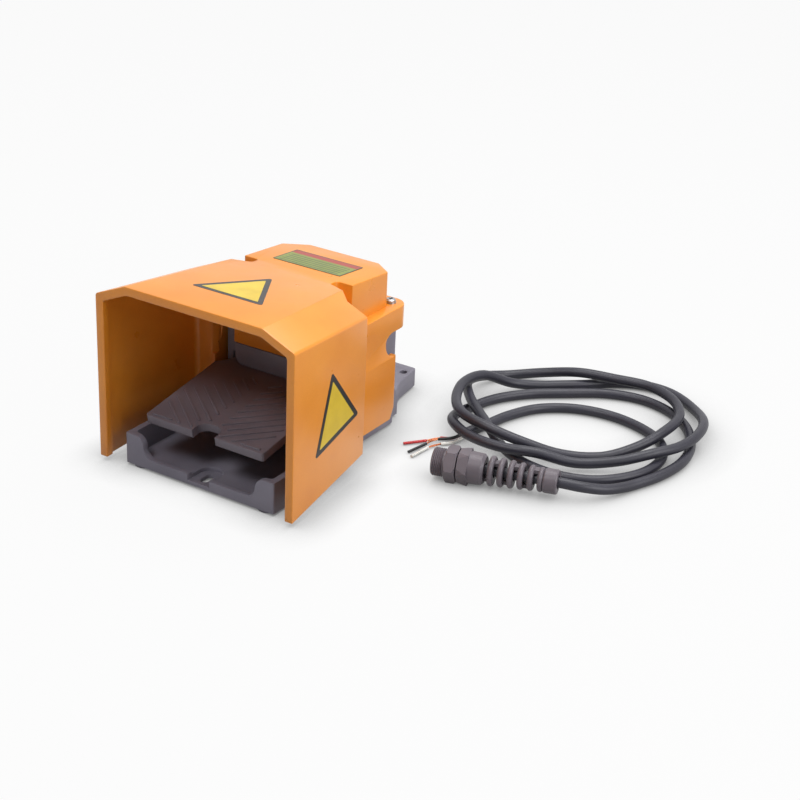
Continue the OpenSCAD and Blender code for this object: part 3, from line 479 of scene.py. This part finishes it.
# Edges stay as cast round the screws, at the side notches and under the floor of the base
screw_spots = [(at(s - 8, 172, 100), at(s + 8, 190, 107)) for s in (-50, 50)]
notch_spots = [(at(s - 4, 158, 84), at(s + 4, 172, 88)) for s in (-57.5, 57.5)]
under_spots = [(at(-100, -10, -1), at(100, 300, 2.6)), (at(-40, 108, 57), at(40, 118, 64))]
rounded_copy("guard_cover", "guard_shell", yellow, 0.8 * MM,
             screw_spots + notch_spots, 3)
rounded_copy("base_casting", "base_shell", grey, 0.6 * MM, under_spots, 2, 0.6)
rounded_copy("pedal", "pedal_plate", tread_grey, 0.5 * MM)


# ------------------------------------------------------------------ return springs
def return_springs():
    """Two coiled wires under the pedal, drawn at one fixed length."""
    low, high, radius, wire = 12.95, 46.24, 7.0, 0.9
    turns, steps, spring_x, spring_y, floor_z = 6, 24, 30, 90, 12
    made = []
    for side in (-1, 1):
        coil = []
        for i in range(turns * steps + 1):
            turn = 2 * math.pi * i / steps
            coil.append(at(side * spring_x + radius * math.cos(turn), spring_y + radius * math.sin(turn),
                           low + (high - low) * i / (turns * steps)))
        made.append(cable("spring_wire", coil, wire * MM, 3))
    piece = joined(made, "spring_coils")
    dress(piece, spring_steel)
    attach(piece, BODY)
    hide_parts("return_springs")
    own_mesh(piece)


return_springs()


# ------------------------------------------------------------------ stickers
def plate_from_outline(name, outline, thickness, corner, frame_matrix):
    """A thin plate with rounded corners, drawn flat and then set on its surface."""
    deselect()
    mesh = bpy.data.meshes.new(name)
    piece = bpy.data.objects.new(name, mesh)
    bpy.context.scene.collection.objects.link(piece)
    shape = bmesh.new()
    face = shape.faces.new([shape.verts.new((x * MM, y * MM, 0)) for x, y in outline])
    bmesh.ops.bevel(shape, geom=list(face.verts), offset=corner * MM, segments=6, affect="VERTICES",
                    profile=0.5)
    shape.to_mesh(mesh)
    shape.free()
    only(piece)
    bpy.ops.object.mode_set(mode="EDIT")
    bpy.ops.mesh.select_all(action="SELECT")
    bpy.ops.mesh.extrude_region_move(TRANSFORM_OT_translate={"value": (0, 0, thickness * MM)})
    bpy.ops.mesh.select_all(action="SELECT")
    bpy.ops.mesh.normals_make_consistent(inside=False)
    bpy.ops.object.mode_set(mode="OBJECT")
    piece.data.transform(frame_matrix)
    bpy.ops.object.shade_smooth_by_angle(angle=math.radians(30))
    return piece


def surface(origin, along, up):
    """A frame whose x runs along the surface and z stands off it."""
    x = Vector(along).normalized()
    z = Vector(up).normalized()
    y = z.cross(x)
    m = Matrix((x, y, z)).transposed().to_4x4()
    m.translation = at(*origin)
    return m


def triangle(radius, first):
    turns = [math.radians(first + 120 * k) for k in range(3)]
    return [(radius * math.cos(turn), radius * math.sin(turn)) for turn in turns]


# Fall of the roof and draft of each side wall, per millimetre behind the mouth
ROOF_FALL, SIDE_DRAFT = 0.083, 0.0915
GUARD_H, GUARD_HW = 148.0, 90.0
roof_normal = (0, ROOF_FALL, 1)
side_normal = (1, SIDE_DRAFT, 0)


def roof_z(y):
    return GUARD_H - ROOF_FALL * y


def side_x(y):
    return GUARD_HW - SIDE_DRAFT * y


def sticker_film(name, tone, dark):
    made = Finish(name)
    made.base(made.ramp(made.noise(60, 3), [(0.35, dark), (0.7, tone)]))
    made.rough(made.spread(made.noise(150, 2), 0.28, 0.4))
    made.bump(made.noise(420, 2), 0.00001, 0.4)
    return made.material


film_black = sticker_film("sign_border_print", colour(34, 30, 28), colour(22, 20, 20))
film_yellow = sticker_film("sign_yellow_print", colour(222, 190, 50), colour(208, 176, 40))


# Distance of the corners of each sign's two films from its middle
BORDER_R, FIELD_R = 37.5, 29.5
ROOF_SIGN_Y, SIDE_SIGN_Y, SIDE_SIGN_Z = 58.0, 59.3, 65.8


def sign(name, place):
    """A plain triangular sign: a dark film with a yellow field on it."""
    border = plate_from_outline(name + "_border", triangle(BORDER_R, 90), 0.16, 3.5, place)
    field = plate_from_outline(name + "_field", triangle(FIELD_R, 90), 0.24, 1.2, place)
    for piece, material in ((border, film_black), (field, film_yellow)):
        dress(piece, material)
        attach(piece, BODY)


sign("roof_sign", surface((0, ROOF_SIGN_Y, roof_z(ROOF_SIGN_Y)), (1, 0, 0), roof_normal))
side_sign_turn = math.radians(10.2)
sign("side_sign", surface((side_x(SIDE_SIGN_Y), SIDE_SIGN_Y, SIDE_SIGN_Z),
                          (-SIDE_DRAFT * math.cos(side_sign_turn), math.cos(side_sign_turn),
                           math.sin(side_sign_turn)), side_normal))


def label_print(name, y_front, y_rear):
    """A green plate with a red band at its rear edge and plain ruled lines."""
    made = Finish(name)
    axes = made.add("ShaderNodeSeparateXYZ")
    made.link(made.place, axes.inputs[0])
    length = made.add("ShaderNodeMapRange")
    length.inputs["From Min"].default_value = y_front
    length.inputs["From Max"].default_value = y_rear
    made.link(axes.outputs["Y"], length.inputs["Value"])
    v = length.outputs["Result"]
    green, dark_green = colour(128, 140, 52), colour(112, 126, 44)
    red_tone, ink = colour(158, 52, 40), colour(58, 62, 36)
    cloud = made.ramp(made.noise(80, 3), [(0.3, dark_green), (0.7, green)])
    body = made.mix(made.math("GREATER_THAN", v, 0.74), cloud, red_tone)
    # plain ruled lines on the green field, and a thin dark rim
    wave = made.math("FRACT", made.math("MULTIPLY", v, 8.0))
    rule = made.math("MULTIPLY", made.math("GREATER_THAN", wave, 0.72), made.math("LESS_THAN", v, 0.7))
    side = made.math("ABSOLUTE", axes.outputs["X"])
    rule = made.math("MULTIPLY", rule, made.math("LESS_THAN", side, 0.0275))
    rim_x = made.math("GREATER_THAN", side, 0.0304)
    rim_y = made.math("GREATER_THAN", made.math("ABSOLUTE", made.math("SUBTRACT", v, 0.5)), 0.466)
    made.base(made.mix(made.math("MAXIMUM", rule, made.math("MAXIMUM", rim_x, rim_y)), body, ink))
    made.rough(made.spread(made.noise(150, 2), 0.3, 0.42))
    made.bump(made.noise(420, 2), 0.00001, 0.4)
    return made.material


LABEL_Y, LABEL_HW, LABEL_HL = 154.5, 31.5, 16.2
label_corners = [(-LABEL_HW, -LABEL_HL), (LABEL_HW, -LABEL_HL), (LABEL_HW, LABEL_HL), (-LABEL_HW, LABEL_HL)]
label = plate_from_outline("data_plate", label_corners, 0.3, 1.0,
                           surface((0, LABEL_Y, roof_z(LABEL_Y)), (1, 0, 0), roof_normal))
dress(label, label_print("data_plate_print", at(0, 138.3, 0).y, at(0, 170.7, 0).y))
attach(label, BODY)


# ------------------------------------------------------------------ floor and light
FLOOR_Z = -0.0002
FLOOR_SIZE = 6
# How far the painted contact shadow darkens the bright paper round a piece's foot
CONTACT_SHADE = 0.035
PAPER_GLOW = 0.94


def paper_floor():
    """A sheet of paper that looks evenly bright, with a painted contact shadow round the object's foot, but
    lights the object only as pale paper does.
    """
    bpy.ops.mesh.primitive_plane_add(size=FLOOR_SIZE, location=(0, 0, FLOOR_Z))
    floor = bpy.context.object
    floor.name = "floor"
    made = Finish("floor_paper")
    made.shader.inputs["Base Color"].default_value = (0.42, 0.42, 0.42, 1)
    made.rough(made.spread(made.noise(30, 2), 0.75, 0.85))
    glow = made.add("ShaderNodeEmission", Strength=1.0)
    rays = made.add("ShaderNodeLightPath")
    blend = made.add("ShaderNodeMixShader")
    output = next(n for n in made.tree.nodes if n.type == "OUTPUT_MATERIAL")
    # painted contact shadow: ambient occlusion dims the paper's glow near the object
    shade = made.add("ShaderNodeAmbientOcclusion", samples=8)
    shade.inputs["Distance"].default_value = CONTACT_SHADE
    made.link(made.spread(shade.outputs["AO"], 0.1, 1.0), glow.inputs["Strength"])
    seen = made.math("MAXIMUM", rays.outputs["Is Camera Ray"], rays.outputs["Is Glossy Ray"])
    seen = made.math("MAXIMUM", seen, rays.outputs["Is Transmission Ray"])
    made.link(made.math("MULTIPLY", seen, PAPER_GLOW), blend.inputs[0])
    made.link(made.shader.outputs[0], blend.inputs[1])
    made.link(glow.outputs[0], blend.inputs[2])
    made.link(blend.outputs[0], output.inputs["Surface"])
    floor.data.materials.append(made.material)


def surroundings():
    """A white room that is seen and mirrored at full strength and lights the object softly."""
    world = bpy.data.worlds.new("studio")
    bpy.context.scene.world = world
    world.use_nodes = True
    tree = world.node_tree
    tree.nodes.clear()
    out = tree.nodes.new("ShaderNodeOutputWorld")
    white = tree.nodes.new("ShaderNodeBackground")
    soft = tree.nodes.new("ShaderNodeBackground")
    both = tree.nodes.new("ShaderNodeMixShader")
    rays = tree.nodes.new("ShaderNodeLightPath")
    white.inputs["Color"].default_value = (1, 1, 1, 1)
    white.inputs["Strength"].default_value = 1.0
    soft.inputs["Color"].default_value = (1, 1, 1, 1)
    soft.inputs["Strength"].default_value = 0.16
    seen = rays.outputs["Is Camera Ray"]
    for kind in ("Is Glossy Ray", "Is Transmission Ray"):
        larger = tree.nodes.new("ShaderNodeMath")
        larger.operation = "MAXIMUM"
        tree.links.new(seen, larger.inputs[0])
        tree.links.new(rays.outputs[kind], larger.inputs[1])
        seen = larger.outputs[0]
    tree.links.new(seen, both.inputs[0])
    tree.links.new(soft.outputs[0], both.inputs[1])
    tree.links.new(white.outputs[0], both.inputs[2])
    tree.links.new(both.outputs[0], out.inputs["Surface"])


def lamp(name, place, power, size, target=(0.05, 0, 0.05)):
    data = bpy.data.lights.new(name, "AREA")
    data.energy = power
    data.size = size
    thing = bpy.data.objects.new(name, data)
    bpy.context.scene.collection.objects.link(thing)
    thing.location = place
    aim = Vector(target) - Vector(place)
    thing.rotation_mode = "QUATERNION"
    thing.rotation_quaternion = aim.to_track_quat("-Z", "Y")


bpy.context.scene.view_settings.view_transform = "Standard"
paper_floor()
surroundings()
lamp("top_light", (0.15, 0.4, 1.4), 17, 1.0)
lamp("front_light", (-0.1, -0.95, 1.35), 8.5, 0.5)
lamp("right_light", (1.4, 0.0, 0.75), 13, 0.9)
